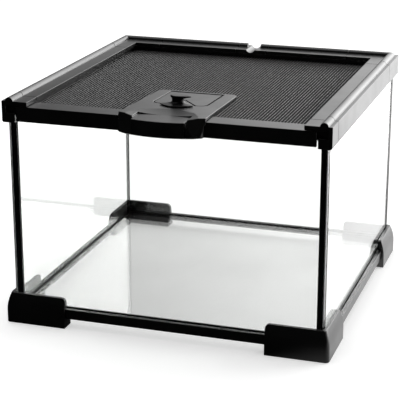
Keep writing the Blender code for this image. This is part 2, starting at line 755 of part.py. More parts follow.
def hatch_cutters():
    """What the handle plate has cut out of it for the hatch, its hinge, the port and the knob's shaft."""
    deep = -(HATCH_THICKNESS + HATCH_FIT)
    swing = HINGE_DEPTH + HATCH_FIT
    half = HATCH_HALF_WIDTH + HATCH_FIT
    seat = add_object("hatch_seat", prism_mesh(hatch_outline(HATCH_FIT), "Z", deep, CUT), plane)
    pocket_bottom = -(HINGE_DEPTH + BARREL_RADIUS + HATCH_FIT)
    pocket = add_object("hinge_pocket", box_mesh((-half, -swing, pocket_bottom), (half, swing, CUT)), plane)
    port = add_object(
        "port",
        box_mesh(
            (-PORT_HALF_WIDTH, -PORT_BACK - PORT_LENGTH, -CUT), (PORT_HALF_WIDTH, -PORT_BACK, CUT)
        ),
        plane,
    )
    pin_half = HATCH_HALF_WIDTH + PIN_END_LENGTH + SEAT_GAP
    pin_hole = add_object(
        "pin_hole", across_cylinder(PIN_RADIUS + PIN_CLEARANCE, pin_half, -HINGE_DEPTH), plane
    )
    bm = cylinder_mesh(SHAFT_RADIUS + SHAFT_CLEARANCE, -CUT, CUT, centre=(0, knob_y()))
    return seat, pocket, port, pin_hole, add_object("shaft_hole", bm, plane)


def build_hatch():
    """The flap with its hinge barrel, and below it the hook that the cam holds."""
    bm = prism_mesh(hatch_outline(), "Z", HINGE_DEPTH - HATCH_THICKNESS, HINGE_DEPTH)
    door = add_object("hatch_door", bm, hatch, satin_black, smooth=True)
    barrel = add_object("barrel", across_cylinder(BARREL_RADIUS, HATCH_HALF_WIDTH, 0), hatch)
    hook_front = hook_back() - HOOK_THICKNESS - HOOK_LIP
    lip_top = cam_bottom() - CAM_GAP + HINGE_DEPTH
    lip_bottom = lip_top - HOOK_LIP_THICKNESS
    leg = add_object(
        "hook_leg",
        box_mesh(
            (-HOOK_HALF_WIDTH, hook_back() - HOOK_THICKNESS, lip_bottom),
            (HOOK_HALF_WIDTH, hook_back(), HINGE_DEPTH - HATCH_THICKNESS / 2),
        ),
        hatch,
    )
    lip = add_object(
        "hook_lip",
        box_mesh(
            (-HOOK_HALF_WIDTH, hook_front, lip_bottom),
            (HOOK_HALF_WIDTH, hook_back() - HOOK_THICKNESS / 2, lip_top),
        ),
        hatch,
    )
    pin_hole = across_cylinder(PIN_RADIUS + PIN_CLEARANCE, HATCH_HALF_WIDTH + CUT, 0)
    join(door, barrel, leg, lip)
    cut(door, add_object("barrel_hole", pin_hole, hatch))
    pin = across_cylinder(PIN_RADIUS, HATCH_HALF_WIDTH + PIN_END_LENGTH, -HINGE_DEPTH)
    add_object("hatch_pin", pin, plane, steel, smooth=True)


def hook_back():
    """The hook's rear face, measured from the hinge axis: the lip in front of it stays inside the port."""
    port_front = -(PORT_BACK + PORT_LENGTH)
    return port_front + HOOK_CLEARANCE + HOOK_LIP + HOOK_THICKNESS


# Knob: flange, neck, cap and shaft in one, with the shaft running through the plate to the cam


def knob_y():
    return -(KNOB_SETBACK - HATCH_SETBACK)


def collar_bottom():
    """The underside of the plate round the shaft, where it fills the window in the mesh."""
    return MESH_BOTTOM + SEAT_GAP


def shaft_bottom():
    """The shaft runs through the plate, which is thickest under the cam's front."""
    cam_front = hinge_y() + (knob_y() - CAM_RADIUS) * math.cos(HANDLE_SLOPE)
    return (collar_bottom() - handle_top(cam_front)) * math.cos(HANDLE_SLOPE)


def cam_bottom():
    return shaft_bottom() - SEAT_GAP - CAM_THICKNESS


def knob_ring(right, left, rear, front, middle_y, height, tips=""):
    """A ring of points round the knob's axis, pointed at its right or left end where tips names that end."""
    ring = []
    for step in range(ROUND_STEPS):
        angle = 2 * math.pi * step / ROUND_STEPS
        x, y = math.cos(angle), math.sin(angle)
        end = "right" if x > 0 else "left"
        if end in tips:
            y *= abs(y)
        reach_x = right if x > 0 else left
        reach_y = rear if y > 0 else front
        ring.append(Vector((x * reach_x, middle_y + y * reach_y, height)))
    return ring


def knob_circle(radius, height):
    return knob_ring(radius, radius, radius, radius, 0, height)


def blend(ring, other, share, height):
    """A ring part of the way from one ring to another, at a height of its own."""
    mixed = [point.lerp(goal, share) for point, goal in zip(ring, other)]
    return [Vector((point.x, point.y, height)) for point in mixed]


def loft_mesh(rings):
    """A closed skin through rings that all have the same number of points."""
    bm = bmesh.new()
    face = bm.faces.new([bm.verts.new(point) for point in rings[0]])
    places = {vert: place for place, vert in enumerate(face.verts)}
    for count, ring in enumerate(rings[1:]):
        order = {tuple(vert.co): place for vert, place in places.items()}
        made = bmesh.ops.extrude_face_region(bm, geom=[face])
        new_verts = [item for item in made["geom"] if isinstance(item, bmesh.types.BMVert)]
        places = {vert: order[tuple(vert.co)] for vert in new_verts}
        for vert, place in places.items():
            vert.co = ring[place]
        if count > 0:
            bmesh.ops.delete(bm, geom=[face], context="FACES_ONLY")
        face = next(item for item in made["geom"] if isinstance(item, bmesh.types.BMFace))
    return bm


def build_knob():
    """A pointed flange that sweeps in to a round neck and out again to a cap with a pointer."""
    flange_top = SEAT_GAP + KNOB_FLANGE
    neck_bottom = (flange_top + KNOB_NECK_TOP) / 2
    dome_bottom = KNOB_HEIGHT - KNOB_DOME
    cap_bottom = dome_bottom - KNOB_CAP_EDGE

    def flange(height):
        half, middle = KNOB_HALF_WIDTH, -KNOB_TIP_OFFSET
        return knob_ring(half, half, KNOB_REAR_DEPTH, KNOB_FRONT_DEPTH, middle, height, "right left")

    def cap(height):
        half = KNOB_CAP_HALF_DEPTH
        return knob_ring(KNOB_POINTER, KNOB_CAP_RADIUS, half, half, 0, height, "right")

    neck = knob_circle(KNOB_NECK_RADIUS, neck_bottom)
    rings = [
        knob_circle(SHAFT_RADIUS, shaft_bottom()),
        knob_circle(SHAFT_RADIUS, SEAT_GAP),
        flange(SEAT_GAP),
        flange(flange_top),
        blend(flange(0), neck, 0.6, flange_top + (neck_bottom - flange_top) / 4),
        blend(flange(0), neck, 0.88, flange_top + (neck_bottom - flange_top) / 2),
        neck,
        knob_circle(KNOB_NECK_RADIUS, KNOB_NECK_TOP),
        blend(neck, cap(0), 0.3, (KNOB_NECK_TOP + cap_bottom) / 2),
        cap(cap_bottom),
        cap(dome_bottom),
        blend(cap(0), neck, 0.5, KNOB_HEIGHT),
    ]
    lock = add_object("lock_knob", loft_mesh(rings), knob, knob_black, smooth=True)
    hole_top = cam_bottom() + SCREW_LENGTH
    screw_room = cylinder_mesh(
        SCREW_RADIUS + SCREW_HOLE_CLEARANCE, shaft_bottom() - CUT, hole_top, SMALL_ROUND_STEPS
    )
    cut(lock, add_object("screw_room", screw_room, knob))


def build_cam():
    """At rest the arm points to the right, clear of the hook. A quarter turn brings it over the lip."""
    leg_front = hook_back() - HOOK_THICKNESS
    reach = leg_front - CAM_TIP_GAP - knob_y()
    spread = math.degrees(math.asin(CAM_HALF_WIDTH / CAM_RADIUS))
    outline = arc((0, 0), CAM_RADIUS, spread, 360 - spread, ROUND_STEPS)
    outline += arc((reach - CAM_HALF_WIDTH, 0), CAM_HALF_WIDTH, -90, 90, 6)
    cam = add_object(
        "lock_cam", prism_mesh(outline, "Z", cam_bottom(), cam_bottom() + CAM_THICKNESS), knob, satin_black
    )
    hole = cylinder_mesh(
        SCREW_RADIUS + SCREW_HOLE_CLEARANCE, cam_bottom() - CUT, cam_bottom() + CUT, SMALL_ROUND_STEPS
    )
    cut(cam, add_object("cam_hole", hole, knob))


def build_cam_screw():
    head_top = cam_bottom() - SEAT_GAP
    profile = [
        (0, head_top + SCREW_LENGTH),
        (SCREW_RADIUS, head_top + SCREW_LENGTH),
        (SCREW_RADIUS, head_top),
        (SCREW_HEAD_RADIUS, head_top),
        (SCREW_HEAD_RADIUS, head_top - SCREW_HEAD),
        (0, head_top - SCREW_HEAD),
    ]
    bm = bmesh.new()
    verts = [bm.verts.new((radius, 0, z)) for radius, z in profile]
    for first, second in zip(verts, verts[1:]):
        bm.edges.new((first, second))
    screw = add_object("cam_screw", bm, knob, steel, smooth=True)
    spin = screw.modifiers.new("turned", "SCREW")
    spin.steps = SMALL_ROUND_STEPS
    spin.render_steps = SMALL_ROUND_STEPS
    spin.use_merge_vertices = True
    spin.merge_threshold = 0.00001


clear_scene()
parts = make_collection("glass_mini_terrarium")
cutters = make_collection("cutters", for_cutters=True)

glass = make_material("float_glass", (0.93, 0.97, 0.95), 0.02, transmission=1.0)
floor_glass = make_material("floor_glass", (0.80, 0.86, 0.83), 0.03, transmission=1.0)
satin_black = make_material("satin_black_plastic", (0.022, 0.022, 0.022), 0.42)
knob_black = make_material("black_knob_plastic", (0.010, 0.010, 0.010), 0.40)
silicone = make_material("black_silicone", (0.012, 0.012, 0.012), 0.55)
mesh_grey = make_material("coated_mesh", (0.065, 0.063, 0.060), 0.50)
steel = make_material("steel_wire", (0.55, 0.55, 0.56), 0.30, metallic=1.0)

tank = make_empty("terrarium", (0, MIDDLE_SHIFT, 0))
lid = make_empty("lid", (0, 0, 0), tank)
plane_place = (0, hinge_y(), handle_top(hinge_y()))
plane = make_empty("handle_plane", plane_place, lid, (-HANDLE_SLOPE, 0, 0))
hatch = make_empty("hatch_axis", (0, 0, -HINGE_DEPTH), plane)
knob = make_empty("knob_axis", (0, knob_y(), 0), plane)

build_glass()
build_silicone()
build_rails()
build_feet()
build_frame_rails()
build_frame_corners()
build_cable_inlet()
build_lid_frame()
build_mesh_screen()
build_handle()
build_hatch()
build_knob()
build_cam()
build_cam_screw()
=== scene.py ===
import json
import math

import bmesh
import bpy
from mathutils import Matrix, Vector


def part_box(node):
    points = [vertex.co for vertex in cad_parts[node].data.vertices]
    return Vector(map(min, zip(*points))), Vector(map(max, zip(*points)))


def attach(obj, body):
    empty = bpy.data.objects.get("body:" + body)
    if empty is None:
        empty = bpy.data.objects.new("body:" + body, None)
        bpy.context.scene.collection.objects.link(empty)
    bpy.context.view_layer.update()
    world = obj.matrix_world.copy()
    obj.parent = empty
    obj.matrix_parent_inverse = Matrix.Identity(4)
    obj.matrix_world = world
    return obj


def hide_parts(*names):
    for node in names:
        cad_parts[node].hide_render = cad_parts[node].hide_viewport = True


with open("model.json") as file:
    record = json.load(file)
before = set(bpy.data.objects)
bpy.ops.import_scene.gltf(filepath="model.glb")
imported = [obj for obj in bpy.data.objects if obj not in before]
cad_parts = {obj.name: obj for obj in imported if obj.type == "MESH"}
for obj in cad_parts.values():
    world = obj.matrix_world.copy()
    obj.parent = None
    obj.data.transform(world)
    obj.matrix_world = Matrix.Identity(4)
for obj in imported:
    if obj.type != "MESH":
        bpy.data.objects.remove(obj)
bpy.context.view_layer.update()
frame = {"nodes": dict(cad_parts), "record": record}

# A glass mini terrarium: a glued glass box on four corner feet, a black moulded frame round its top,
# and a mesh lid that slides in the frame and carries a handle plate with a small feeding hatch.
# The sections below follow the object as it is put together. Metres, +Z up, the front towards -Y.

nodes = frame["nodes"]


# Glass panes. Four panes of clear float glass, 4 mm thick, stand on the base rails and are glued at
# the corners. A belt has taken the sharp edges off the front and back panes, whose cut ends lie open,
# so these have narrow frosted lines.

EDGE_GRIND = 0.0005
MERGE_DISTANCE = 0.00002
FLAT_ANGLE = math.radians(0.5)
SQUARE_ON = 0.9
GLASS_IOR = 1.5
SMEARS_PER_METRE = 18.0
GRIND_MARKS_PER_METRE = 900.0
GRIND_DEPTH = 0.00004


def hex_colour(code):
    """An sRGB colour such as #1A2B3C as linear red, green, blue and alpha."""
    channels = [int(code[place:place + 2], 16) / 255 for place in (1, 3, 5)]
    return [c / 12.92 if c <= 0.04045 else ((c + 0.055) / 1.055) ** 2.4 for c in channels] + [1.0]


def set_inputs(tree, node, inputs):
    """Sets inputs of a node, each to a value or to a link from another node's socket."""
    for name, value in inputs.items():
        if isinstance(value, bpy.types.NodeSocket):
            tree.links.new(value, node.inputs[name])
        else:
            node.inputs[name].default_value = value


def add_node(tree, kind, inputs=None, **settings):
    """Adds a node with its settings and inputs."""
    node = tree.nodes.new(kind)
    for name, value in settings.items():
        setattr(node, name, value)
    set_inputs(tree, node, inputs or {})
    return node


def start_material(name):
    """A new material, with its tree, its Principled shader and a socket of the object's coordinates."""
    material = bpy.data.materials.new(name)
    material.use_nodes = True
    tree = material.node_tree
    place = add_node(tree, "ShaderNodeTexCoord").outputs["Object"]
    return material, tree, tree.nodes["Principled BSDF"], place


def clouds(tree, place, per_metre, detail):
    """A cloudy pattern with about so many patches to the metre."""
    pattern = add_node(tree, "ShaderNodeTexNoise", {"Vector": place, "Scale": per_metre, "Detail": detail})
    return pattern.outputs["Fac"]


def colour_between(tree, pattern, span, colours):
    """A colour that goes from the first to the second as a pattern crosses a span."""
    shade = add_node(tree, "ShaderNodeValToRGB", {"Fac": pattern})
    for stop, position, colour in zip(shade.color_ramp.elements, span, colours):
        stop.position = position
        stop.color = hex_colour(colour)
    return shade.outputs["Color"]


def value_between(tree, pattern, span, values):
    """A value that goes from the first to the second as a pattern crosses a span."""
    scale = add_node(tree, "ShaderNodeMapRange", {"Value": pattern, "From Min": span[0], "From Max": span[1]})
    set_inputs(tree, scale, {"To Min": values[0], "To Max": values[1]})
    return scale.outputs["Result"]


def bumps(tree, pattern, strength, height):
    """Small unevenness, as a normal for a shader."""
    bump = add_node(tree, "ShaderNodeBump", {"Strength": strength, "Distance": height, "Height": pattern})
    return bump.outputs["Normal"]


def let_lamps_through(tree, shader, tint):
    """Lamp light and light from other surfaces pass straight through the glass, a little tinted."""
    path = add_node(tree, "ShaderNodeLightPath")
    rays = {0: path.outputs["Is Shadow Ray"], 1: path.outputs["Is Diffuse Ray"]}
    either = add_node(tree, "ShaderNodeMath", rays, operation="MAXIMUM")
    clear = add_node(tree, "ShaderNodeBsdfTransparent", {"Color": hex_colour(tint)})
    ways = {0: either.outputs[0], 1: shader.outputs[0], 2: clear.outputs[0]}
    mix = add_node(tree, "ShaderNodeMixShader", ways)
    tree.links.new(mix.outputs[0], tree.nodes["Material Output"].inputs["Surface"])


def copy_of(name):
    """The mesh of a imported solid, with its split corners merged and its flat faces whole."""
    bm = bmesh.new()
    bm.from_mesh(nodes[name].data)
    bmesh.ops.remove_doubles(bm, verts=bm.verts[:], dist=MERGE_DISTANCE)
    bmesh.ops.dissolve_limit(bm, angle_limit=FLAT_ANGLE, verts=bm.verts[:], edges=bm.edges[:])
    return bm


body_of = {
    node: body for body, members in frame["record"]["behaviour"]["bodies"].items() for node in members
}


def add_piece(name, bm, materials, replaced):
    """Puts a finished mesh in the scene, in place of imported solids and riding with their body."""
    bmesh.ops.recalc_face_normals(bm, faces=bm.faces[:])
    mesh = bpy.data.meshes.new(name)
    bm.to_mesh(mesh)
    bm.free()
    for material in materials:
        mesh.materials.append(material)
    piece = bpy.data.objects.new(name, mesh)
    bpy.context.scene.collection.objects.link(piece)
    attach(piece, body_of[replaced[0]])
    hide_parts(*replaced)
    return piece


# Clear float glass, almost without colour: it shows by its edges and by what it mirrors. Faint smears
# 5 to 6 cm wide take a trace of its clearness.
float_glass, tree, shader, place = start_material("clear_float_glass")
smears = clouds(tree, place, SMEARS_PER_METRE, 3.0)
set_inputs(tree, shader, {
    "Base Color": colour_between(tree, smears, (0.5, 0.75), ("#FDFEFD", "#F9FAF9")),
    "Roughness": 0.0,
    "IOR": GLASS_IOR,
    "Transmission Weight": 1.0,
})
let_lamps_through(tree, shader, "#FBFCFB")

# Ground glass: frosted and slightly green, so an edge reads as a soft pale line.
ground_edge, tree, shader, place = start_material("ground_glass_edge")
grind = clouds(tree, place, GRIND_MARKS_PER_METRE, 2.0)
set_inputs(tree, shader, {
    "Base Color": hex_colour("#E6EFEA"),
    "Roughness": 0.35,
    "IOR": GLASS_IOR,
    "Transmission Weight": 1.0,
    "Normal": bumps(tree, grind, 0.5, GRIND_DEPTH),
})
let_lamps_through(tree, shader, "#F0F6F2")


def add_pane(name, node, clear_glass, ground):
    """A pane of clear glass. The ground ones have a frosted chamfer along each edge."""
    bm = copy_of(node)
    if ground:
        bmesh.ops.bevel(
            bm,
            geom=bm.edges[:],
            offset=EDGE_GRIND,
            offset_type="OFFSET",
            segments=1,
            profile=0.5,
            affect="EDGES",
            material=-1,
        )
    bm.normal_update()
    for face in bm.faces:
        face.material_index = 0 if max(abs(part) for part in face.normal) > SQUARE_ON else 1
    add_piece(name, bm, (clear_glass, ground_edge), (node,))


for side in ("front", "back", "left", "right"):
    add_pane(f"{side}_pane", f"{side}_glass", float_glass, side in ("front", "back"))


# Floor pane. The same glass, laid inside the four panes and bonded to them all round. Its pale grey
# tint, in faint patches, is painted shade for the shade on the table under the tank.

SHADE_PATCHES_PER_METRE = 25.0

# Float glass with painted shade: still clear, but a pale grey tint, standing in for shade, dims what lies
# under it.
shaded_floor_float_glass, tree, shader, place = start_material("float_glass_painted_shade")
shade_patches = clouds(tree, place, SHADE_PATCHES_PER_METRE, 4.0)
set_inputs(tree, shader, {
    "Base Color": colour_between(tree, shade_patches, (0.3, 0.7), ("#E5E5E5", "#EBEBEB")),
    "Roughness": 0.01,
    "IOR": GLASS_IOR,
    "Transmission Weight": 1.0,
})
let_lamps_through(tree, shader, "#EEEEEE")
add_pane("floor_pane", "floor_glass", shaded_floor_float_glass, False)


# Corner seams. Black silicone sealant, run into each upright corner from a gun and smoothed with a
# finger. It wets the glass on both sides, so no air shows between them, and it stands a little back
# from the outer faces. At the rear it is also wiped over the cut ends of the back pane, in a film.

WET = 0.00005
SEAM_SETBACK = 0.00005
WIPE_OVERLAP = 0.0008
WIPE_THICKNESS = 0.0001
SEAM_WIDTHS = {"front_left": 0.0039, "front_right": 0.0046, "back_left": 0.0040, "back_right": 0.0040}
FINGER_MARKS_PER_METRE = 700.0
FINGER_DRAG = 0.12
FINGER_MARK_HEIGHT = 0.00006

# Black silicone: rubbery and nearly without shine, with marks drawn out along the seam.
black_silicone, tree, shader, place = start_material("black_silicone_sealant")
drag = add_node(tree, "ShaderNodeMapping", {"Vector": place, "Scale": (1.0, 1.0, FINGER_DRAG)})
finger_marks = clouds(tree, drag.outputs["Vector"], FINGER_MARKS_PER_METRE, 2.0)
set_inputs(tree, shader, {
    "Base Color": hex_colour("#050505"),
    "Roughness": value_between(tree, finger_marks, (0.3, 0.7), (0.32, 0.5)),
    "Specular IOR Level": 0.06,
    "Normal": bumps(tree, finger_marks, 0.3, FINGER_MARK_HEIGHT),
})


def prism(outline, bottom, top):
    """An upright prism over an outline of X and Y pairs."""
    bm = bmesh.new()
    base = bm.faces.new([bm.verts.new((x, y, bottom)) for x, y in outline])
    raised = bmesh.ops.extrude_face_region(bm, geom=[base])["geom"]
    corners = [item for item in raised if isinstance(item, bmesh.types.BMVert)]
    bmesh.ops.translate(bm, verts=corners, vec=(0, 0, top - bottom))
    return bm


pane_outer_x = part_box("right_glass")[1].x
pane_inner_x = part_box("right_glass")[0].x
for corner, width in SEAM_WIDTHS.items():
    end, side = corner.split("_")
    sign = 1 if side == "right" else -1
    toward = 1 if end == "back" else -1
    wall_low, wall_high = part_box(f"{end}_glass")
    wall_y = wall_low.y if end == "back" else wall_high.y
    side_low, side_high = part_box(f"{side}_glass")
    side_y = side_high.y if end == "back" else side_low.y
    seam_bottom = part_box(f"seam_{corner}")[0].z
    seam_top = wall_high.z - WET
    outer = pane_outer_x - SEAM_SETBACK
    inner = pane_outer_x - width
    far_y = wall_y + toward * WET
    near_y = side_y - toward * WET
    outline = [(outer, far_y), (outer, near_y), (inner, near_y), (inner, far_y)]
    bm = prism([(sign * x, y) for x, y in outline], seam_bottom, seam_top)
    add_piece(f"corner_sealant_{corner}", bm, (black_silicone,), (f"seam_{corner}",))
    if end == "back":
        film = pane_outer_x + WIPE_THICKNESS
        near_y = side_y - WIPE_OVERLAP
        far_y = wall_high.y - EDGE_GRIND
        outline = [(film, far_y), (film, near_y), (outer, near_y), (outer, far_y)]
        bm = prism([(sign * x, y) for x, y in outline], seam_bottom, seam_top)
        add_piece(f"wiped_sealant_{side}", bm, (black_silicone,), (f"seam_{corner}",))


# Floor bond. A thin line of the same sealant between the floor pane and each wall, wetting both.

floor_low, floor_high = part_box("floor_glass")
wall_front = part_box("front_glass")[1].y
wall_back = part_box("back_glass")[0].y
bond_edges = {
    "front": ((-pane_inner_x, wall_front), (pane_inner_x, floor_low.y)),
    "back": ((-pane_inner_x, floor_high.y), (pane_inner_x, wall_back)),
    "left": ((-pane_inner_x, floor_low.y), (floor_low.x, floor_high.y)),
    "right": ((floor_high.x, floor_low.y), (pane_inner_x, floor_high.y)),
}
for side, ((x0, y0), (x1, y1)) in bond_edges.items():
    grow_x = WET if side in ("left", "right") else -WET
    grow_y = WET if side in ("front", "back") else -WET
    x0, x1, y0, y1 = x0 - grow_x, x1 + grow_x, y0 - grow_y, y1 + grow_y
    bm = prism([(x0, y0), (x1, y0), (x1, y1), (x0, y1)], floor_low.z + WET, floor_high.z - WET)
    add_piece(f"floor_bond_{side}", bm, (black_silicone,), (f"floor_seal_{side}",))


# Base rails, feet, top frame and lid frame. Black ABS, moulded, with slightly rounded edges. The rails
# are clipped and glued to the panes, and the feet and corners are pushed over their ends.

MOULD_RADIUS = 0.00022
SHARP_ANGLE = math.radians(38)
GLOSS_DRIFTS_PER_METRE = 65.0
GRAINS_PER_METRE = 2000.0
GRAIN_HEIGHT = 0.000006


def black_plastic(name, colours, gloss, grain_height, shine=0.5):
    """Black plastic with drifts of gloss 15 mm across and a moulded grain.

    The grain is drawn 0.5 mm across, coarser than the real one, which would be too fine to see."""
    material, tree, shader, place = start_material(name)
    drifts = clouds(tree, place, GLOSS_DRIFTS_PER_METRE, 3.0)
    grain = clouds(tree, place, GRAINS_PER_METRE, 1.0)
    set_inputs(tree, shader, {
        "Base Color": colour_between(tree, drifts, (0.35, 0.65), colours),
        "Roughness": value_between(tree, drifts, (0.3, 0.7), gloss),
        "IOR": 1.45,
        "Specular IOR Level": shine,
        "Normal": bumps(tree, grain, 0.35, grain_height),
    })
    return material


def add_moulding(name, material, radius=MOULD_RADIUS, keep=None, shape=None, rim=None):
    """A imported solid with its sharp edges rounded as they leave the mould, apart from those to keep."""
    bm = copy_of(name)
    if shape:
        shape(bm)
    weight = bm.edges.layers.float.new("bevel_weight_edge")
    for edge in bm.edges:
        kept = bool(keep and keep(edge))
        edge.smooth = not kept
        edge[weight] = 1.0 if edge.calc_face_angle(0) > SHARP_ANGLE and not kept else 0.0
    piece = add_piece(f"{name}_moulding", bm, (material, rim or material), (name,))
    piece.data.polygons.foreach_set("use_smooth", [True] * len(piece.data.polygons))
    rounding = piece.modifiers.new("rounded_edges", "BEVEL")
    rounding.width = radius
    rounding.segments = 2
    rounding.material = 1
    rounding.limit_method = "WEIGHT"
    rounding.use_clamp_overlap = False
    piece.modifiers.new("even_shading", "WEIGHTED_NORMAL").keep_sharp = True
    return piece


# Satin black ABS: deep black seen square on, and light grey where it mirrors the room at a low angle.
satin_abs = black_plastic("satin_black_abs", ("#050505", "#080808"), (0.33, 0.37), GRAIN_HEIGHT)
slot_of = {part["node"]: part["material_slot"] for part in frame["record"]["subparts"]}
LID_FITTINGS = ("handle_plate", "hatch_door", "lock_cam")
for name in nodes:
    if slot_of[name] == "satin_black" and name not in LID_FITTINGS:
        add_moulding(name, satin_abs)


# Handle plate and feeding hatch. The same plastic. The bowl above the finger shelf is drawn 0.2 mm
# deeper, so that it runs out onto the shelf in the middle. The hatch's rounded rim carries painted
# shade, a near-black with almost no shine, so the joint round it shows as a dark line.

plate_low, plate_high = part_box("handle_plate")
PLATE_RADIUS = 0.00030
HATCH_RADIUS = 0.00045
SHELF_DEPTH = 0.0160
SHELF_HALF = 0.0171
STEP_REACH = 0.0005
BOWL_FLOOR = 0.142002
BOWL_RIM = 0.142889
BOWL_LENGTH = 0.0124
BOWL_DROP = 0.0002
SLACK = 0.0001
FULL_DEPTH = 1.05


def behind_shelf(vertex):
    """How far a point lies behind the shelf's rear edge."""
    return vertex.co.y - plate_low.y - SHELF_DEPTH


def is_shelf_step(edge):
    return all(abs(behind_shelf(v)) < STEP_REACH and abs(v.co.x) < SHELF_HALF for v in edge.verts)


def deepen_bowl(bm):
    """Lowers the bowl, fully at its floor and not at all at its rim."""
    for v in bm.verts:
        depth = (BOWL_RIM - v.co.z) / (BOWL_RIM - BOWL_FLOOR)
        over_bowl = -SLACK < behind_shelf(v) < BOWL_LENGTH and abs(v.co.x) < SHELF_HALF
        if over_bowl and 0 < depth < FULL_DEPTH:
            v.co.z -= BOWL_DROP * depth


# Painted shade on the hatch's rim: near-black with almost no shine, standing in for the shadow inside the
# narrow joint.
rim_painted_shade = black_plastic("black_rim_painted_shade", ("#020202", "#030303"), (0.6, 0.7), GRAIN_HEIGHT, 0.03)
add_moulding("handle_plate", satin_abs, PLATE_RADIUS, is_shelf_step, deepen_bowl)
# The rounded rim of the hatch takes the painted shade of the joint.
add_moulding("hatch_door", satin_abs, HATCH_RADIUS, rim=rim_painted_shade)


# Woven mesh of the lid. Black-coated wire at a pitch of 2 mm, held in the lid's frame, with a window
# under the hatch. The wires across are 0.66 mm thick. Those front to back are 0.48 mm thick, lie on
# top and are sunk into the coat where they cross.

WIRES = 90
ACROSS_RADIUS = 0.00033
ACROSS_HEIGHT = -0.00006
LENGTHWISE_RADIUS = 0.00024
LENGTHWISE_HEIGHT = 0.00015
WIRE_BEND = 0.00001
WINDOW_HALF = 0.0217
WINDOW_EDGE = 0.0024
WINDOW_SETBACK = 0.0026
COAT_DRIFTS_PER_METRE = 400.0
mesh_low, mesh_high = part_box("mesh_screen")

# Black-coated wire: its round top catches a thin light line, and the rest stays dark.
coated_wire, tree, shader, place = start_material("black_coated_wire")
coat = clouds(tree, place, COAT_DRIFTS_PER_METRE, 2.0)
set_inputs(tree, shader, {
    "Base Color": hex_colour("#090909"),
    "Roughness": value_between(tree, coat, (0.3, 0.7), (0.3, 0.5)),
    "Specular IOR Level": 0.38,
})


def in_window(vertex):
    """Whether a point lies in the mesh's window under the hatch."""
    deep = mesh_low.y + WINDOW_SETBACK < vertex.co.y < plate_high.y - WINDOW_EDGE
    return deep and abs(vertex.co.x) < WINDOW_HALF


def weave(name, along, radius, bend, height):
    """All the wires along one axis, as four-sided tubes with a ring at each crossing."""
    across = 1 - along
    start = Vector((mesh_low.x, mesh_low.y, (mesh_low.z + mesh_high.z) / 2 + height))
    pitch = (mesh_high - mesh_low) / (WIRES - 1)
    step = Vector((0, 0, 0))
    step[along] = pitch[along]
    bm = bmesh.new()
    turn = Matrix.Rotation(math.radians(90), 4, "XY"[across])
    for phase in (0, 1):
        offset = Vector((0, 0, 0))
        offset[across] = phase * pitch[across]
        origin = Matrix.Translation(start + offset)
        ring = bmesh.ops.create_circle(bm, segments=4, radius=radius, matrix=origin @ turn)["verts"]
        loop = list({edge for vertex in ring for edge in vertex.link_edges})
        bmesh.ops.spin(bm, geom=ring + loop, axis=(0, 0, 1), dvec=step, angle=0, steps=WIRES - 1)
    for vertex in bm.verts:
        crossing = round((vertex.co[along] - start[along]) / pitch[along])
        phase = round((vertex.co[across] - start[across]) / pitch[across])
        vertex.co.z += bend if (crossing + phase) % 2 else -bend
    pair = bm.verts[:] + bm.edges[:] + bm.faces[:]
    for number in range(1, WIRES // 2):
        new = bmesh.ops.duplicate(bm, geom=pair)["geom"]
        shift = Vector((0, 0, 0))
        shift[across] = 2 * number * pitch[across]
        moved = [item for item in new if isinstance(item, bmesh.types.BMVert)]
        bmesh.ops.translate(bm, verts=moved, vec=shift)
    window = [vertex for vertex in bm.verts if in_window(vertex)]
    bmesh.ops.delete(bm, geom=window, context="VERTS")
    for face in bm.faces:
        face.smooth = True
    return add_piece(name, bm, (coated_wire,), ("mesh_screen",))


weave("mesh_wires_across", 0, ACROSS_RADIUS, WIRE_BEND, ACROSS_HEIGHT)
weave("mesh_wires_lengthwise", 1, LENGTHWISE_RADIUS, -WIRE_BEND, LENGTHWISE_HEIGHT)


# Knob, cam and steel fittings. The knob turns in a hole of the handle plate, and the cam under it is
# held to its shaft by the screw. The pin carries the hatch. Pin and screw are drawn steel.

KNOB_RADIUS = 0.00012
KNOB_GRAIN_HEIGHT = 0.000005
STEEL_RADIUS = 0.00005
DRAW_LINES_PER_METRE = 6000.0
DRAW_STRETCH = 0.05

# Deep black ABS: blacker than the frame and with little shine, so the knob reads as a silhouette.
deep_black = black_plastic("deep_black_abs", ("#030303", "#060606"), (0.28, 0.36), KNOB_GRAIN_HEIGHT, 0.2)
add_moulding("lock_knob", deep_black, KNOB_RADIUS)
add_moulding("lock_cam", satin_abs, KNOB_RADIUS)

# Bright drawn steel: a clear metal glint, streaked along the pin by the drawing.
bright_steel, tree, shader, place = start_material("bright_drawn_steel")
draw = add_node(tree, "ShaderNodeMapping", {"Vector": place, "Scale": (DRAW_STRETCH, 1.0, 1.0)})
draw_lines = clouds(tree, draw.outputs["Vector"], DRAW_LINES_PER_METRE, 1.0)
set_inputs(tree, shader, {
    "Base Color": hex_colour("#C2C2C4"),
    "Metallic": 1.0,
    "Roughness": value_between(tree, draw_lines, (0.3, 0.7), (0.2, 0.36)),
})
for name in ("hatch_pin", "cam_screw"):
    add_moulding(name, bright_steel, STEEL_RADIUS)


# Stage: a pale table, a white backdrop and soft studio light. For reflections the room is bright
# behind the object and to its right, and dark in front, as a tent with a black front panel is.

TABLE_HALF = 4.0
TABLE_DROP = 0.0002
TABLE_GLOW = 0.45
TABLE_SHINE = 3.0
ROOM_LIGHT = 0.45
BACKDROP_LIGHT = 1.0
ROOM_SHINE = 6.4
ROOM_SHINE_FALL = 1.5


def ray_tests(tree):
    """Two tests of a ray: whether a gloss mirrored it, and whether no matt surface has spread it."""
    path = add_node(tree, "ShaderNodeLightPath")
    mirrored = add_node(
        tree, "ShaderNodeMath", {0: path.outputs["Glossy Depth"], 1: 0.5}, operation="GREATER_THAN"
    )
    unspread = add_node(
        tree, "ShaderNodeMath", {0: path.outputs["Diffuse Depth"], 1: 0.5}, operation="LESS_THAN"
    )
    return mirrored.outputs[0], unspread.outputs[0]


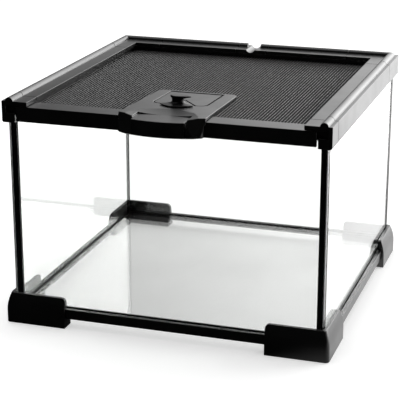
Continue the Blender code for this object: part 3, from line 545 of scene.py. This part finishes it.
def along_direction(tree, vector, direction):
    """How far a vector reaches along a direction."""
    reach = add_node(tree, "ShaderNodeVectorMath", {0: vector, 1: direction}, operation="DOT_PRODUCT")
    return reach.outputs["Value"]


def either_shader(tree, test, without, with_test):
    """One shader where a test fails and another where it holds."""
    mix = add_node(tree, "ShaderNodeMixShader", {0: test, 1: without, 2: with_test})
    return mix.outputs[0]


bm = bmesh.new()
bmesh.ops.create_grid(bm, x_segments=1, y_segments=1, size=TABLE_HALF)
table_mesh = bpy.data.meshes.new("table_top")
bm.to_mesh(table_mesh)
bm.free()
table_top = bpy.data.objects.new("table_top", table_mesh)
table_top.location.z = -TABLE_DROP
bpy.context.scene.collection.objects.link(table_top)

# White laminate: it keeps the shadow, and is mirrored dark in front and bright far behind.
table_paint, tree, shader, place = start_material("white_table_laminate")
tree.nodes.remove(shader)
mirrored, unspread = ray_tests(tree)
matt = add_node(tree, "ShaderNodeBsdfDiffuse", {"Color": hex_colour("#E6E6E6")}).outputs[0]
glow = add_node(tree, "ShaderNodeEmission", {"Color": hex_colour("#FFFFFF"), "Strength": TABLE_GLOW})
lit = add_node(tree, "ShaderNodeAddShader", {0: matt, 1: glow.outputs[0]}).outputs[0]
backward = along_direction(tree, place, (0.6, 0.8, 0.0))
table_shine = add_node(
    tree, "ShaderNodeValToRGB", {"Fac": value_between(tree, backward, (-0.3, 0.6), (0.0, 1.0))}
)
table_steps = ((0.0, 0.002), (0.285, 0.002), (0.335, 0.42), (0.46, 0.50), (0.62, 0.50), (0.85, 1.0))
ramp = table_shine.color_ramp.elements
ramp.remove(ramp[1])
for position, value in table_steps:
    stop = ramp.new(position)
    stop.color = (value, value, value, 1.0)
shine_light = add_node(
    tree, "ShaderNodeEmission", {"Color": table_shine.outputs["Color"], "Strength": TABLE_SHINE}
)
table_seen = either_shader(tree, mirrored, lit, shine_light.outputs[0])
table_light = either_shader(tree, unspread, matt, table_seen)
tree.links.new(table_light, tree.nodes["Material Output"].inputs["Surface"])
table_mesh.materials.append(table_paint)
table_paint.cycles.emission_sampling = "NONE"

world = bpy.data.worlds.new("studio")
bpy.context.scene.world = world
world.use_nodes = True
tree = world.node_tree
mirrored, unspread = ray_tests(tree)
white = hex_colour("#FFFFFF")
room = add_node(tree, "ShaderNodeBackground", {"Color": white, "Strength": ROOM_LIGHT})
backdrop = add_node(tree, "ShaderNodeBackground", {"Color": white, "Strength": BACKDROP_LIGHT})
direction = add_node(tree, "ShaderNodeTexCoord").outputs["Generated"]
behind = along_direction(tree, direction, (0.60, 0.77, 0.20))
bright_behind = value_between(tree, behind, (0.41, 0.97), (0.02, 1.0))
brighter = add_node(tree, "ShaderNodeMath", {0: bright_behind, 1: ROOM_SHINE_FALL}, operation="POWER")
shine = add_node(tree, "ShaderNodeBackground", {"Color": brighter.outputs[0], "Strength": ROOM_SHINE})
world_seen = either_shader(tree, mirrored, backdrop.outputs[0], shine.outputs[0])
world_light = either_shader(tree, unspread, room.outputs[0], world_seen)
tree.links.new(world_light, tree.nodes["World Output"].inputs["Surface"])
world.cycles.sampling_method = "NONE"


def add_softbox(name, location, target, size, watts):
    """A square area lamp that faces a point."""
    lamp = bpy.data.lights.new(name, "AREA")
    lamp.shape = "RECTANGLE"
    lamp.size = size
    lamp.size_y = size
    lamp.energy = watts
    box = bpy.data.objects.new(name, lamp)
    box.location = location
    box.rotation_euler = (Vector(target) - Vector(location)).to_track_quat("-Z", "Y").to_euler()
    bpy.context.scene.collection.objects.link(box)


add_softbox("softbox_right", (1.1, 0.9, 0.5), (0, 0, 0.08), 0.9, 14.0)
add_softbox("softbox_top", (-0.2, 0.3, 1.4), (0, 0, 0.1), 1.2, 10.0)

CAMERA_PLACE = (0.2695, -0.8555, 0.3512)
CAMERA_TILT = math.radians(90 - 17.946)
CAMERA_TURN = math.radians(17.985)
camera_data = bpy.data.cameras.new("camera")
camera_data.lens = 127.0
camera_data.sensor_width = 36.0
camera = bpy.data.objects.new("camera", camera_data)
camera.location = CAMERA_PLACE
camera.rotation_euler = (CAMERA_TILT, 0, CAMERA_TURN)
bpy.context.scene.collection.objects.link(camera)
bpy.context.scene.camera = camera
bpy.context.scene.view_settings.view_transform = "Standard"
